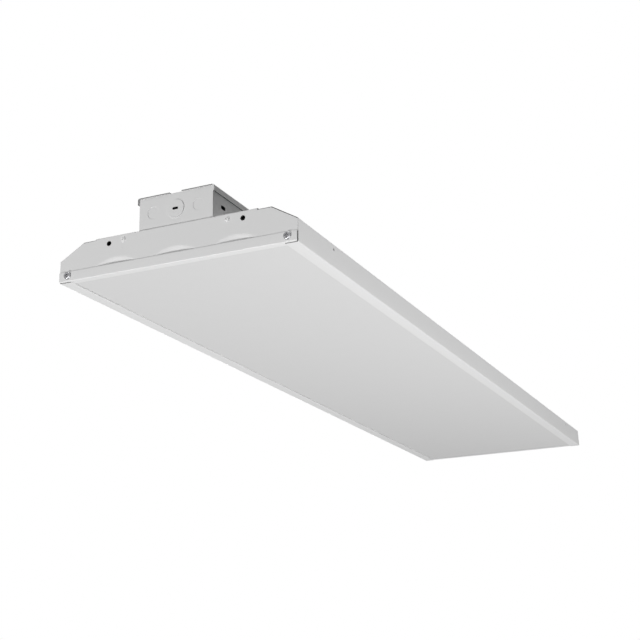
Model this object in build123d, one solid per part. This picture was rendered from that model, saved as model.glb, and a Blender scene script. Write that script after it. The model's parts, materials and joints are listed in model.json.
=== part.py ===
from build123d import *
import math
import os

# A linear high bay light: a folded channel with a frosted lens below, an end plate and an end rail at each
# end, and a wiring box on the roof at the near end.
# Lengths are millimetres. X runs along the fixture with the wiring box towards -X, Y runs across it, and Z
# points up from the underside of the return flanges. The origin is under the middle of the fixture.

# Whole fixture, over the end rails and the side walls
FIXTURE_LENGTH = 1219.2
FIXTURE_WIDTH = 304.8

# Folded housing
HOUSING_SHEET = 1.0
HOUSING_BEND = 1.6
ROOF_HEIGHT = 46.0
SIDE_HEIGHT = 27.5
SHOULDER_RUN = 31.3
RETURN_FLANGE = 15.4
GUARD_HOLE_RADIUS = 1.6
GUARD_HOLE_SETBACK = 95.6
GUARD_HOLE_HEIGHT = 21.9

# End rails
RAIL_SHEET = 1.5
RAIL_HEIGHT = 12.7
RAIL_LIP = 10.3
RAIL_END_GAP = 0.2
RAIL_WALL_GAP = 0.3

# End plates
PLATE_SHEET = 1.2
PLATE_LENS_GAP = 0.7
TAB_DEPTH = 12.0
TAB_BOTTOM = 6.5
TAB_TOP_GAP = 3.5
TOP_FLANGE_DEPTH = 12.0
TOP_FLANGE_CORNER_GAP = 17.0
TOP_FLANGE_BOX_GAP = 2.6
HANGER_HOLE_RADIUS = 3.0
HANGER_CORNER_DISTANCE = 34.8
HANGER_ROOF_DISTANCE = 7.4

# Scoops pressed into the end plate above the rail
SCOOP_PITCH = 77.0
SCOOP_CHORD = 50.4
SCOOP_RISE = 7.8
SCOOP_DEPTH = 3.0

# Angle behind each end plate
STIFFENER_SHEET = 1.2
STIFFENER_DROP = 13.0
STIFFENER_LEG = 14.0
STIFFENER_CORNER_GAP = 23.0

# Lens and the foam that carries its long edges
LENS_THICKNESS = 2.0
LENS_SIDE_GAP = 3.0
LENS_END_GAP = 0.5
CUSHION_WIDTH = 8.0
CUSHION_EDGE_GAP = 1.5
CUSHION_END_GAP = 0.5

# Wiring box and its cover
BOX_SHEET = 1.0
BOX_WIDTH = 96.4
BOX_HEIGHT = 41.2
BOX_END_GAP = 0.3
BOX_LIP = 8.0
WIRING_SPACE = 62.0
LEAD_SPACE = 50.0
COVER_SHEET = 1.0
COVER_FLANGE = 8.0
COVER_SIDE_GAP = 0.15
COVER_NOTCH_WIDTH = 15.5
COVER_NOTCH_DEPTH = 6.0
COVER_SCREW_SETBACK = 42.0
COVER_SCREW_DROP = 4.4

# Knockouts in the box walls
KNOCKOUT_RADIUS = 11.1
SMALL_KNOCKOUT_RADIUS = 7.25
SMALL_KNOCKOUT_OFFSET = 29.5
SIDE_KNOCKOUT_SETBACK = 24.0
KNOCKOUT_GAP = 0.35
KNOCKOUT_TIE = 2.0
PRY_SLOT_LENGTH = 7.5
PRY_SLOT_HEIGHT = 2.2

# Driver with a foot at each end
DRIVER_LENGTH = 160.0
DRIVER_WIDTH = 58.0
DRIVER_HEIGHT = 30.0
DRIVER_CORNER = 2.0
DRIVER_FOOT = 14.0
DRIVER_FOOT_SHEET = 1.5
DRIVER_SCREW_OFFSET = 20.0

# Bushing where the output leads pass through the roof
BUSHING_BORE = 5.0
BUSHING_BODY = 7.5
BUSHING_FLANGE = 10.0
BUSHING_FLANGE_HEIGHT = 1.5
BUSHING_TAIL = 1.5
BUSHING_WALL_GAP = 5.2
BUSHING_SETBACK = 24.0
BUSHING_GAP = 0.15

# LED boards in three rows of two
BOARD_WIDTH = 26.0
BOARD_THICKNESS = 1.6
BOARD_END_SETBACK = 22.0
BOARD_JOINT_GAP = 3.0
ROW_PITCH = 77.0
BOARD_SCREW_COUNT = 5
BOARD_SCREW_INSET = 12.0
LED_SIZE = 3.0
LED_HEIGHT = 0.7
LED_PITCH = 24.0
LED_SCREW_GAP = 6.0
TERMINAL_LENGTH = 28.0
TERMINAL_WIDTH = 9.0
TERMINAL_HEIGHT = 5.0
TERMINAL_EDGE_GAP = 0.5
TERMINAL_REACH = 44.0
OUTPUT_ENTRY_SETBACK = 8.0
JUMPER_ENTRY_SETBACK = 6.0

# Screws and rivets
RAIL_SCREW_HEAD = 4.6
RAIL_SCREW_HEAD_HEIGHT = 2.2
RAIL_SCREW_SHANK = 1.9
RAIL_SCREW_TAIL = 4.0
RAIL_SCREW_INSET = 11.7
RAIL_SCREW_HEIGHT = 7.9
COVER_SCREW_HEAD = 3.4
COVER_SCREW_HEAD_HEIGHT = 1.8
COVER_SCREW_SHANK = 1.5
COVER_SCREW_TAIL = 3.0
FLOOR_SCREW_HEAD = 3.8
FLOOR_SCREW_HEAD_HEIGHT = 2.0
FLOOR_SCREW_SHANK = 1.9
FLOOR_SCREW_TAIL = 3.0
BOARD_SCREW_HEAD = 2.8
BOARD_SCREW_HEAD_HEIGHT = 1.2
BOARD_SCREW_SHANK = 1.4
RIVET_HEAD_RADIUS = 2.9
RIVET_HEAD_HEIGHT = 1.0
RIVET_SHANK_RADIUS = 1.6
RIVET_BULB_RADIUS = 2.4
RIVET_BULB_LENGTH = 2.4
PLATE_RIVET_CORNER_DISTANCE = 54.1
PLATE_RIVET_ROOF_DISTANCE = 5.7
FLANGE_RIVET_SETBACK = 7.0
FLANGE_RIVET_CORNER_DISTANCE = 43.0
SHANK_CLEARANCE = 0.25
THREAD_CLEARANCE = 0.05
RECESS_WIDTH = 0.9
DRILL_REACH = 4.0

# Leads and wire nuts
LEAD_RADIUS = 1.0
SUPPLY_LEAD_OFFSET = 8.0
SUPPLY_NUT_REACH = 32.0
OUTPUT_LEAD_OFFSET = 16.0
OUTPUT_LEAD_PITCH = 4.4
NUT_MOUTH_RADIUS = 5.0
NUT_TIP_RADIUS = 3.2
NUT_LENGTH = 18.0
BOX_SCREW_NEAR_INSET = 19.0
BOX_SCREW_FAR_INSET = 7.0
BOX_SCREW_WALL_GAP = 9.0
GROUND_SCREW_SETBACK = 34.0

# Places that follow from the sizes above
HALF_LENGTH = FIXTURE_LENGTH / 2
HALF_WIDTH = FIXTURE_WIDTH / 2
ROOF_HALF = HALF_WIDTH - SHOULDER_RUN
ROOF_UNDERSIDE = ROOF_HEIGHT - HOUSING_SHEET
WALL_INSIDE = HALF_WIDTH - HOUSING_SHEET
LIP_TOP = HOUSING_SHEET + RAIL_SHEET
LENS_TOP = LIP_TOP + LENS_THICKNESS
PLATE_FRONT = -HALF_LENGTH + RAIL_SHEET
PLATE_BACK = PLATE_FRONT + PLATE_SHEET
PLATE_TOP = ROOF_HEIGHT + PLATE_SHEET
PLATE_BOTTOM = LENS_TOP + PLATE_LENS_GAP
TOP_FLANGE_OUTER = ROOF_HALF - TOP_FLANGE_CORNER_GAP
HANGER_Y = ROOF_HALF - HANGER_CORNER_DISTANCE
HANGER_Z = ROOF_HEIGHT - HANGER_ROOF_DISTANCE
PLATE_RIVET_Y = ROOF_HALF - PLATE_RIVET_CORNER_DISTANCE
PLATE_RIVET_Z = ROOF_HEIGHT - PLATE_RIVET_ROOF_DISTANCE
FLANGE_RIVET_X = PLATE_FRONT + FLANGE_RIVET_SETBACK
FLANGE_RIVET_Y = ROOF_HALF - FLANGE_RIVET_CORNER_DISTANCE
RAIL_SCREW_Y = HALF_WIDTH - RAIL_SCREW_INSET

BOX_HALF = BOX_WIDTH / 2
BOX_X0 = PLATE_BACK + BOX_END_GAP
BOX_LENGTH = WIRING_SPACE + DRIVER_LENGTH + 2 * DRIVER_FOOT + LEAD_SPACE + 2 * BOX_SHEET
BOX_X1 = BOX_X0 + BOX_LENGTH
BOX_FLOOR = ROOF_HEIGHT + BOX_SHEET
BOX_TOP = ROOF_HEIGHT + BOX_HEIGHT
COVER_UNDERSIDE = BOX_TOP - COVER_SHEET
COVER_INSIDE = BOX_HALF + COVER_SIDE_GAP
KNOCKOUT_Z = (BOX_FLOOR + COVER_UNDERSIDE) / 2
DRIVER_X0 = BOX_X0 + BOX_SHEET + WIRING_SPACE + DRIVER_FOOT
DRIVER_X1 = DRIVER_X0 + DRIVER_LENGTH
BUSHING_X = BOX_X1 - BOX_SHEET - BUSHING_SETBACK
BUSHING_Y = BOX_HALF - BOX_SHEET - BUSHING_WALL_GAP - BUSHING_FLANGE
TERMINAL_X = BUSHING_X + TERMINAL_REACH
BOARD_UNDERSIDE = ROOF_UNDERSIDE - BOARD_THICKNESS
BOARD_X0 = -HALF_LENGTH + BOARD_END_SETBACK
TERMINAL_Z = BOARD_UNDERSIDE - TERMINAL_HEIGHT / 2
ROWS = {"right": -ROW_PITCH, "centre": 0.0, "left": ROW_PITCH}
TERMINAL_SIDES = {"right": 1, "centre": 1, "left": -1}


def slab(x0, x1, y0, y1, z0, z1):
    """Block between two opposite corners."""
    middle = Pos((x0 + x1) / 2, (y0 + y1) / 2, (z0 + z1) / 2)
    return middle * Box(x1 - x0, y1 - y0, z1 - z0)


def rod(start, direction, radius, length):
    """Round bar from a point along a direction."""
    return Plane(origin=start, z_dir=direction) * Cylinder(
        radius, length, align=(Align.CENTER, Align.CENTER, Align.MIN)
    )


def hole(middle, direction, radius):
    """Round cutter that runs past both faces of the sheets at one place."""
    return Plane(origin=middle, z_dir=direction) * Cylinder(radius, 2 * DRILL_REACH)


def screw(seat, direction, head_radius, head_height, shank_radius, shank_length):
    """Pan head screw: the head stands on the seat and the shank runs along the direction."""
    head = Cylinder(head_radius, head_height, align=(Align.CENTER, Align.CENTER, Align.MAX))
    head = fillet(head.edges().sort_by(Axis.Z)[:1], 0.6 * head_height)
    bar = Box(1.1 * head_radius, RECESS_WIDTH, head_height)
    recess = Pos(0, 0, -head_height) * (bar + Rot(0, 0, 90) * bar)
    shank = Cylinder(shank_radius, shank_length, align=(Align.CENTER, Align.CENTER, Align.MIN))
    return Plane(origin=seat, z_dir=direction) * (head - recess + shank)


def rivet(seat, direction, grip):
    """Blind rivet: a domed head on the seat, a shank through the grip and a bulb behind it."""
    head = Cylinder(RIVET_HEAD_RADIUS, RIVET_HEAD_HEIGHT, align=(Align.CENTER, Align.CENTER, Align.MAX))
    head = fillet(head.edges().sort_by(Axis.Z)[:1], 0.8 * RIVET_HEAD_HEIGHT)
    shank = Cylinder(RIVET_SHANK_RADIUS, grip, align=(Align.CENTER, Align.CENTER, Align.MIN))
    bulb = Cylinder(RIVET_BULB_RADIUS, RIVET_BULB_LENGTH, align=(Align.CENTER, Align.CENTER, Align.MIN))
    return Plane(origin=seat, z_dir=direction) * (head + shank + Pos(0, 0, grip) * bulb)


def housing_outline(inset):
    """Closed outline of the channel across its length, moved inwards from the outer faces."""
    corners = [
        (-HALF_WIDTH, 0),
        (HALF_WIDTH, 0),
        (HALF_WIDTH, SIDE_HEIGHT),
        (ROOF_HALF, ROOF_HEIGHT),
        (-ROOF_HALF, ROOF_HEIGHT),
        (-HALF_WIDTH, SIDE_HEIGHT),
    ]
    outline = make_face(Polyline(*corners, close=True))
    outline = fillet(outline.vertices(), HOUSING_BEND)
    if inset:
        outline = offset(outline, amount=-inset, kind=Kind.INTERSECTION)
    return outline


def floor_screw(seat, grip):
    """Screw driven down through the box floor and the roof, with a tail below the sheets that it grips."""
    length = grip + FLOOR_SCREW_TAIL
    return screw(seat, (0, 0, -1), FLOOR_SCREW_HEAD, FLOOR_SCREW_HEAD_HEIGHT, FLOOR_SCREW_SHANK, length)


def floor_holes():
    """Holes that the box floor and the roof share: box, driver and ground screws, and the bushing."""
    places = box_screw_places() + driver_screw_places() + [ground_screw_place()]
    cutters = [hole((*place, BOX_FLOOR), (0, 0, 1), FLOOR_SCREW_SHANK + THREAD_CLEARANCE) for place in places]
    cutters.append(hole((BUSHING_X, BUSHING_Y, BOX_FLOOR), (0, 0, 1), BUSHING_BODY + BUSHING_GAP))
    return cutters


def box_screw_places():
    """Four screws near the corners of the box floor."""
    side = BOX_HALF - BOX_SHEET - BOX_SCREW_WALL_GAP
    along = (BOX_X0 + BOX_SCREW_NEAR_INSET, BOX_X1 - BOX_SCREW_FAR_INSET)
    return [(x, y) for x in along for y in (-side, side)]


def driver_screw_places():
    """One screw through each foot of the driver, on opposite sides of its middle line."""
    middle = DRIVER_FOOT / 2
    return [(DRIVER_X0 - middle, -DRIVER_SCREW_OFFSET), (DRIVER_X1 + middle, DRIVER_SCREW_OFFSET)]


def ground_screw_place():
    """Ground screw in the floor of the wiring space."""
    return BOX_X0 + GROUND_SCREW_SETBACK, BOX_SCREW_WALL_GAP + BOX_SHEET - BOX_HALF


def board_ends(side):
    """Start and end of a board along X; side -1 is the near board and 1 the far one."""
    inner = BOARD_JOINT_GAP / 2
    if side < 0:
        return BOARD_X0, -inner
    return inner, -BOARD_X0


def board_screw_places(side):
    """Positions along X of the screws of one board."""
    start, end = board_ends(side)
    start += BOARD_SCREW_INSET
    step = (end - BOARD_SCREW_INSET - start) / (BOARD_SCREW_COUNT - 1)
    return [start + step * number for number in range(BOARD_SCREW_COUNT)]


def housing():
    """Channel folded from one sheet, open between the return flanges."""
    length = FIXTURE_LENGTH - 2 * (RAIL_SHEET + PLATE_SHEET)
    section = housing_outline(0) - housing_outline(HOUSING_SHEET)
    channel = extrude(Plane.YZ.offset(PLATE_BACK) * section, length)
    mouth = HALF_WIDTH - RETURN_FLANGE
    channel -= slab(-HALF_LENGTH, HALF_LENGTH, -mouth, mouth, -1, 2 * HOUSING_SHEET)
    for end in (-1, 1):
        x = end * (HALF_LENGTH - GUARD_HOLE_SETBACK)
        for side in (-1, 1):
            middle = (x, side * HALF_WIDTH, GUARD_HOLE_HEIGHT)
            channel -= hole(middle, (0, 1, 0), GUARD_HOLE_RADIUS)
            place = (end * FLANGE_RIVET_X, side * FLANGE_RIVET_Y, ROOF_HEIGHT)
            channel -= hole(place, (0, 0, 1), RIVET_SHANK_RADIUS + SHANK_CLEARANCE)
    for cutter in floor_holes():
        channel -= cutter
    for side in (-1, 1):
        for x in board_screw_places(side):
            for y in ROWS.values():
                channel -= hole((x, y, ROOF_HEIGHT), (0, 0, 1), BOARD_SCREW_SHANK + THREAD_CLEARANCE)
    return channel


def scoop_ball(y):
    """Middle and radius of the ball that presses one scoop, from its chord and depth at the rail's top."""
    circle = (SCOOP_CHORD**2 / 4 + SCOOP_RISE**2) / (2 * SCOOP_RISE)
    stand_off = (2 * circle * SCOOP_RISE - SCOOP_RISE**2 - SCOOP_DEPTH**2) / (2 * SCOOP_DEPTH)
    middle = Pos(PLATE_FRONT - stand_off, y, RAIL_HEIGHT + SCOOP_RISE - circle)
    return middle, math.hypot(stand_off, circle)


def end_plate():
    """Near end plate: a sheet with three scoops, side tabs inside the housing and two flanges on its roof."""
    depth = Plane.YZ.offset(PLATE_FRONT)
    plate = extrude(depth * housing_outline(HOUSING_SHEET), PLATE_SHEET)
    plate -= slab(PLATE_FRONT - 1, PLATE_BACK + 1, -HALF_WIDTH, HALF_WIDTH, -1, PLATE_BOTTOM)
    top = ROOF_UNDERSIDE - HOUSING_BEND
    plate += slab(PLATE_FRONT, PLATE_BACK, -TOP_FLANGE_OUTER, TOP_FLANGE_OUTER, top, PLATE_TOP)
    inner = COVER_INSIDE + COVER_SHEET + TOP_FLANGE_BOX_GAP
    flange_end = PLATE_FRONT + TOP_FLANGE_DEPTH
    for side in (-1, 1):
        low, high = sorted((side * inner, side * TOP_FLANGE_OUTER))
        plate += slab(PLATE_FRONT, flange_end, low, high, ROOF_HEIGHT, PLATE_TOP)
        low, high = sorted((side * WALL_INSIDE, side * (WALL_INSIDE - PLATE_SHEET)))
        plate += slab(PLATE_FRONT, PLATE_FRONT + TAB_DEPTH, low, high, TAB_BOTTOM, SIDE_HEIGHT - TAB_TOP_GAP)
    reach = SCOOP_PITCH / 2
    for y in (-SCOOP_PITCH, 0.0, SCOOP_PITCH):
        middle, radius = scoop_ball(y)
        room = slab(PLATE_FRONT, PLATE_BACK + 4 * SCOOP_DEPTH, y - reach, y + reach, PLATE_BOTTOM, HANGER_Z)
        dish = middle * (Sphere(radius + PLATE_SHEET) - Sphere(radius)) & room
        plate = plate - middle * Sphere(radius) + dish
    for side in (-1, 1):
        plate -= hole((PLATE_FRONT, side * HANGER_Y, HANGER_Z), (1, 0, 0), HANGER_HOLE_RADIUS)
        rivet_hole = RIVET_SHANK_RADIUS + SHANK_CLEARANCE
        plate -= hole((PLATE_FRONT, side * PLATE_RIVET_Y, PLATE_RIVET_Z), (1, 0, 0), rivet_hole)
        plate -= hole((FLANGE_RIVET_X, side * FLANGE_RIVET_Y, PLATE_TOP), (0, 0, 1), rivet_hole)
        place = (PLATE_FRONT, side * RAIL_SCREW_Y, RAIL_SCREW_HEIGHT)
        plate -= hole(place, (1, 0, 0), RAIL_SCREW_SHANK + THREAD_CLEARANCE)
    return plate


def end_stiffener():
    """Angle inside the near end that backs the hanger holes and ties the plate to the roof."""
    x1 = PLATE_BACK + STIFFENER_LEG
    half = ROOF_HALF - STIFFENER_CORNER_GAP
    low = ROOF_UNDERSIDE - STIFFENER_DROP
    angle = slab(PLATE_BACK, PLATE_BACK + STIFFENER_SHEET, -half, half, low, ROOF_UNDERSIDE)
    angle += slab(PLATE_BACK, x1, -half, half, ROOF_UNDERSIDE - STIFFENER_SHEET, ROOF_UNDERSIDE)
    rivet_hole = RIVET_SHANK_RADIUS + SHANK_CLEARANCE
    for side in (-1, 1):
        angle -= hole((PLATE_BACK, side * HANGER_Y, HANGER_Z), (1, 0, 0), HANGER_HOLE_RADIUS)
        angle -= hole((PLATE_BACK, side * PLATE_RIVET_Y, PLATE_RIVET_Z), (1, 0, 0), rivet_hole)
        angle -= hole((FLANGE_RIVET_X, side * FLANGE_RIVET_Y, ROOF_UNDERSIDE), (0, 0, 1), rivet_hole)
    return angle


def end_rail():
    """Near end rail: upright face in front of the plate and a lip that carries the end of the lens."""
    x0 = -HALF_LENGTH
    face_half = HALF_WIDTH - RAIL_END_GAP
    lip_half = WALL_INSIDE - (HOUSING_BEND - HOUSING_SHEET) - RAIL_WALL_GAP
    rail = slab(x0, x0 + RAIL_SHEET, -face_half, face_half, HOUSING_SHEET, RAIL_HEIGHT)
    rail += slab(x0, x0 + RAIL_LIP, -lip_half, lip_half, HOUSING_SHEET, LIP_TOP)
    for side in (-1, 1):
        place = (x0, side * RAIL_SCREW_Y, RAIL_SCREW_HEIGHT)
        rail -= hole(place, (1, 0, 0), RAIL_SCREW_SHANK + SHANK_CLEARANCE)
    bend = rail.edges().filter_by(Axis.Y).group_by(Axis.Z)[0].sort_by(Axis.X)[0]
    return fillet(bend, 0.8 * RAIL_SHEET)


def lens():
    """Flat lens on the rail lips and the cushions."""
    half_length = HALF_LENGTH - RAIL_SHEET - PLATE_SHEET - LENS_END_GAP
    half_width = WALL_INSIDE - LENS_SIDE_GAP
    return slab(-half_length, half_length, -half_width, half_width, LIP_TOP, LENS_TOP)


def lens_cushion(side):
    """Foam strip between one return flange and the lens."""
    half_length = HALF_LENGTH - RAIL_LIP - CUSHION_END_GAP
    inner = HALF_WIDTH - RETURN_FLANGE + CUSHION_EDGE_GAP
    low, high = sorted((side * inner, side * (inner + CUSHION_WIDTH)))
    return slab(-half_length, half_length, low, high, HOUSING_SHEET, LIP_TOP)


def knockout(middle, normal, radius, slot):
    """Cutter of one knockout: a sheared ring with a tie on each side, and a slot for a screwdriver."""
    reach = 2 * BOX_SHEET
    ring = Cylinder(radius + KNOCKOUT_GAP, reach) - Cylinder(radius, reach)
    ring -= Box(4 * radius, KNOCKOUT_TIE, reach)
    if slot:
        ring += Box(PRY_SLOT_LENGTH, PRY_SLOT_HEIGHT, reach)
    across = Vector(0, 1, 0) if abs(normal[0]) else Vector(1, 0, 0)
    return Plane(origin=middle, x_dir=across, z_dir=normal) * ring


def box_knockouts():
    """Knockouts of the near, far and side walls."""
    z = KNOCKOUT_Z
    near = BOX_X0 + BOX_SHEET / 2
    far = BOX_X1 - BOX_SHEET / 2
    cutters = [knockout((x, 0, z), (1, 0, 0), KNOCKOUT_RADIUS, True) for x in (near, far)]
    for side in (-1, 1):
        y = side * SMALL_KNOCKOUT_OFFSET
        cutters.append(knockout((near, y, z), (1, 0, 0), SMALL_KNOCKOUT_RADIUS, False))
        place = (BOX_X0 + SIDE_KNOCKOUT_SETBACK, side * (BOX_HALF - BOX_SHEET / 2), z)
        cutters.append(knockout(place, (0, 1, 0), KNOCKOUT_RADIUS, True))
    return cutters


def cover_screw_places():
    """Two screws in each side flange of the cover."""
    x0 = BOX_X0 + WIRING_SPACE + COVER_SCREW_SETBACK
    x1 = BOX_X1 - COVER_SCREW_SETBACK
    return [(x, side) for x in (x0, x1) for side in (-1, 1)]


def box_body():
    """Tray with four walls, and a lip along the top of the near and far walls."""
    tray = slab(BOX_X0, BOX_X1, -BOX_HALF, BOX_HALF, ROOF_HEIGHT, COVER_UNDERSIDE)
    tray = fillet(tray.edges().filter_by(Axis.Z), BOX_SHEET)
    x0 = BOX_X0 + BOX_SHEET
    x1 = BOX_X1 - BOX_SHEET
    inside = BOX_HALF - BOX_SHEET
    tray -= slab(x0, x1, -inside, inside, BOX_FLOOR, BOX_TOP)
    lip_low = COVER_UNDERSIDE - BOX_SHEET
    lip_half = inside - 2 * BOX_SHEET
    tray += slab(x0, x0 + BOX_LIP, -lip_half, lip_half, lip_low, COVER_UNDERSIDE)
    tray += slab(x1 - BOX_LIP, x1, -lip_half, lip_half, lip_low, COVER_UNDERSIDE)
    for cutter in floor_holes() + box_knockouts():
        tray -= cutter
    for x, side in cover_screw_places():
        middle = (x, side * BOX_HALF, BOX_TOP - COVER_SCREW_DROP)
        tray -= hole(middle, (0, 1, 0), COVER_SCREW_SHANK + THREAD_CLEARANCE)
    return tray


def box_cover():
    """Lid with a flange down each side and a notch for the fingers in the near edge."""
    outside = COVER_INSIDE + COVER_SHEET
    low = BOX_TOP - COVER_FLANGE
    cover = slab(BOX_X0, BOX_X1, -outside, outside, low, BOX_TOP)
    cover = fillet(cover.edges().filter_by(Axis.X).group_by(Axis.Z)[-1], COVER_SHEET)
    cover -= slab(BOX_X0 - 1, BOX_X1 + 1, -COVER_INSIDE, COVER_INSIDE, low - 1, COVER_UNDERSIDE)
    half_notch = COVER_NOTCH_WIDTH / 2
    cover -= slab(BOX_X0 - 1, BOX_X0 + COVER_NOTCH_DEPTH, -half_notch, half_notch, low, BOX_TOP + 1)
    for x, side in cover_screw_places():
        middle = (x, side * COVER_INSIDE, BOX_TOP - COVER_SCREW_DROP)
        cover -= hole(middle, (0, 1, 0), COVER_SCREW_SHANK + SHANK_CLEARANCE)
    return cover


def driver():
    """Driver case with a foot at each end."""
    x0 = DRIVER_X0
    x1 = DRIVER_X1
    half = DRIVER_WIDTH / 2
    case = slab(x0, x1, -half, half, BOX_FLOOR, BOX_FLOOR + DRIVER_HEIGHT)
    case = fillet(case.edges().filter_by(Axis.X), DRIVER_CORNER)
    foot_top = BOX_FLOOR + DRIVER_FOOT_SHEET
    foot_half = half - DRIVER_CORNER
    case += slab(x0 - DRIVER_FOOT, x1 + DRIVER_FOOT, -foot_half, foot_half, BOX_FLOOR, foot_top)
    for x, y in driver_screw_places():
        case -= hole((x, y, foot_top), (0, 0, 1), FLOOR_SCREW_SHANK + SHANK_CLEARANCE)
    return case


def bushing():
    """Snap-in bushing: flange on the box floor, body through floor and roof, open bore."""
    seat = (BUSHING_X, BUSHING_Y, BOX_FLOOR)
    down = BOX_FLOOR - ROOF_UNDERSIDE + BUSHING_TAIL
    part = rod(seat, (0, 0, 1), BUSHING_FLANGE, BUSHING_FLANGE_HEIGHT)
    part += rod(seat, (0, 0, -1), BUSHING_BODY, down)
    return part - hole(seat, (0, 0, 1), BUSHING_BORE)


def terminal_edges(row):
    """Lower and upper Y of the terminal block of a row, beside the line of packages and screws."""
    outer = ROWS[row] + TERMINAL_SIDES[row] * (BOARD_WIDTH / 2 - TERMINAL_EDGE_GAP)
    return sorted((outer, outer - TERMINAL_SIDES[row] * TERMINAL_WIDTH))


def led_board(side, row):
    """Strip board under the roof; the near boards also carry a terminal block."""
    y = ROWS[row]
    start, end = board_ends(side)
    half = BOARD_WIDTH / 2
    board = slab(start, end, y - half, y + half, BOARD_UNDERSIDE, ROOF_UNDERSIDE)
    for x in board_screw_places(side):
        board -= hole((x, y, ROOF_UNDERSIDE), (0, 0, 1), BOARD_SCREW_SHANK + SHANK_CLEARANCE)
    if side < 0:
        x1 = TERMINAL_X + TERMINAL_LENGTH
        low = BOARD_UNDERSIDE - TERMINAL_HEIGHT
        board += slab(TERMINAL_X, x1, *terminal_edges(row), low, BOARD_UNDERSIDE)
    return board


def led_packages(y):
    """Packages of both boards of one row, in one line that skips the screws."""
    packages = []
    half = LED_SIZE / 2
    for side in (-1, 1):
        start, end = board_ends(side)
        count = int((end - start - LED_PITCH) // LED_PITCH) + 1
        first = (start + end - (count - 1) * LED_PITCH) / 2
        for number in range(count):
            x = first + number * LED_PITCH
            if any(abs(x - place) < LED_SCREW_GAP for place in board_screw_places(side)):
                continue
            low = BOARD_UNDERSIDE - LED_HEIGHT
            packages.append(slab(x - half, x + half, y - half, y + half, low, BOARD_UNDERSIDE))
    return Compound(children=packages)


def board_screws(y):
    """Screws of both boards of one row, driven upwards into the roof."""
    places = board_screw_places(-1) + board_screw_places(1)
    grip = BOARD_THICKNESS + HOUSING_SHEET
    seat = (0, y, BOARD_UNDERSIDE)
    fastener = screw(seat, (0, 0, 1), BOARD_SCREW_HEAD, BOARD_SCREW_HEAD_HEIGHT, BOARD_SCREW_SHANK, grip)
    return Compound(children=[Pos(x, 0, 0) * fastener for x in places])


def lead(points, radii):
    """Round lead along straight runs joined by arcs, one radius for each inner point."""
    path = FilletPolyline(*points, radius=radii)
    start = Plane(origin=path @ 0, z_dir=path % 0)
    return sweep(start * Circle(LEAD_RADIUS), path=path)


def wire_nut(mouth, direction):
    """Tapered connector that a lead enters at its wide mouth."""
    cone = Cone(NUT_MOUTH_RADIUS, NUT_TIP_RADIUS, NUT_LENGTH, align=(Align.CENTER, Align.CENTER, Align.MIN))
    cone = fillet(cone.edges().sort_by(Axis.Z)[-1:], 0.4 * NUT_TIP_RADIUS)
    return Plane(origin=mouth, z_dir=direction) * cone


def supply_lead(number):
    """Lead from the driver into the wiring space, up to the mouth of its wire nut."""
    y = SUPPLY_LEAD_OFFSET * number
    x0 = DRIVER_X0
    z0 = BOX_FLOOR + DRIVER_HEIGHT / 2
    mouth_x = x0 - SUPPLY_NUT_REACH
    points = [
        (x0, y, z0),
        (x0 - 11, y, z0),
        (x0 - 22, y + 7 * number, z0 + 5),
        (mouth_x, y + 8 * number, z0 + 5),
    ]
    return points, [12.0, 12.0]


def ground_lead():
    """Ground lead from the ground screw's head along the side wall, up to its wire nut."""
    x, y = ground_screw_place()
    z = BOX_FLOOR + LEAD_RADIUS
    edge = x + FLOOR_SCREW_HEAD + THREAD_CLEARANCE
    points = [
        (edge, y, z),
        (edge + 7, y, z),
        (edge + 15, y, z + 9),
        (edge + 25, y, z + 12),
    ]
    return points, [8.0, 8.0]


def output_lead(side, row):
    """Output lead from the driver over to the bushing, down through it and on to a terminal block."""
    x0 = DRIVER_X1
    z0 = BOX_FLOOR + DRIVER_HEIGHT / 2
    x = BUSHING_X
    y = BUSHING_Y + side * OUTPUT_LEAD_PITCH / 2
    z = TERMINAL_Z
    block_edge = min(terminal_edges(row), key=lambda edge: abs(edge - y))
    towards = math.copysign(1, block_edge - y)
    entry_x = TERMINAL_X + OUTPUT_ENTRY_SETBACK
    points = [
        (x0, y - OUTPUT_LEAD_OFFSET, z0),
        (x0 + 10, y - OUTPUT_LEAD_OFFSET, z0),
        (x - 4, y - 2, z0 + 1),
        (x, y, BOX_FLOOR + 4),
        (x, y, z - 5),
        (x + 13, y + 3 * towards, z - 5),
        (entry_x - 14, (y + block_edge) / 2, z - 3),
        (entry_x, block_edge - 8 * towards, z),
        (entry_x, block_edge, z),
    ]
    return points, [12.0, 7.0, 10.0, 7.0, 14.0, 14.0, 6.0]


def row_jumper(side, row):
    """Jumper lead between the terminal blocks of the centre row and one outer row."""
    x = TERMINAL_X + TERMINAL_LENGTH - JUMPER_ENTRY_SETBACK
    y0 = side * max(side * edge for edge in terminal_edges("centre"))
    y1 = side * min(side * edge for edge in terminal_edges(row))
    z = TERMINAL_Z
    points = [
        (x, y0, z),
        (x, y0 + side * 12, z),
        (x + 6, (y0 + y1) / 2, z - 2),
        (x, y1 - side * 12, z),
        (x, y1, z),
    ]
    return points, [16.0, 24.0, 16.0]


def far(part):
    """The same piece at the far end."""
    return mirror(part, about=Plane.YZ)


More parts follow.
